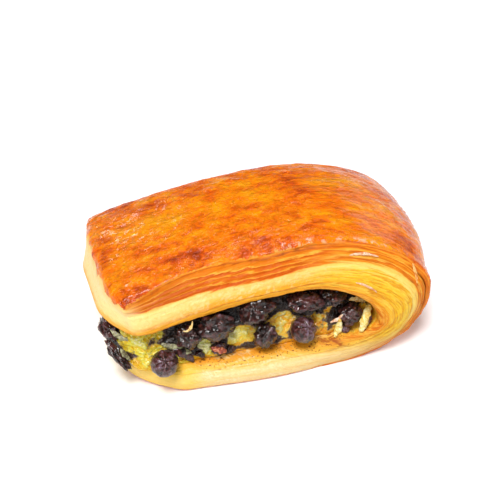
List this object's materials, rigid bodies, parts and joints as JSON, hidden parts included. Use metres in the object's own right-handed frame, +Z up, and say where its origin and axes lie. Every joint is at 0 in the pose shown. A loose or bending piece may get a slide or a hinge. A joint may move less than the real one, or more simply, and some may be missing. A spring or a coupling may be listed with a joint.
{
  "type": "danish pastry",
  "caption": "Folded laminated pastry with a glossy browned crust, cut layers on its long sides, vanilla custard in the fold and baked chocolate drops in the open edges",
  "frame": {"origin": "the middle of the underside of the whole pastry's box", "axes": "+X along the strip towards the fold, +Z up, -Y the cut side that faces the viewer"},
  "size_m": [0.1242, 0.0716, 0.05],
  "materials": {
    "dough": "egg-washed baked crust, pale matt layers on the cut sides",
    "custard": "wet baked custard",
    "chocolate": "baked dark chocolate"
  },
  "bodies": {
    "root": {"dough": "dough", "custard": "custard", "chocolate_drop_front_left": "chocolate", "chocolate_drop_front_middle": "chocolate", "chocolate_chunk_front_left": "chocolate", "chocolate_chunk_front_upper": "chocolate", "chocolate_chunk_front_lower": "chocolate", "chocolate_chunk_under_flap": "chocolate", "chocolate_chunk_in_shadow": "chocolate", "chocolate_chunk_front_right": "chocolate", "chocolate_bit_front_left": "chocolate", "chocolate_bit_front_right": "chocolate", "chocolate_chunk_left_end": "chocolate", "chocolate_smear_left_end": "chocolate", "chocolate_drop_back_left": "chocolate", "chocolate_chunk_back_middle": "chocolate", "chocolate_drop_back_right": "chocolate", "chocolate_chunk_back_right": "chocolate", "chocolate_bit_back": "chocolate"}
  },
  "joints": []
}
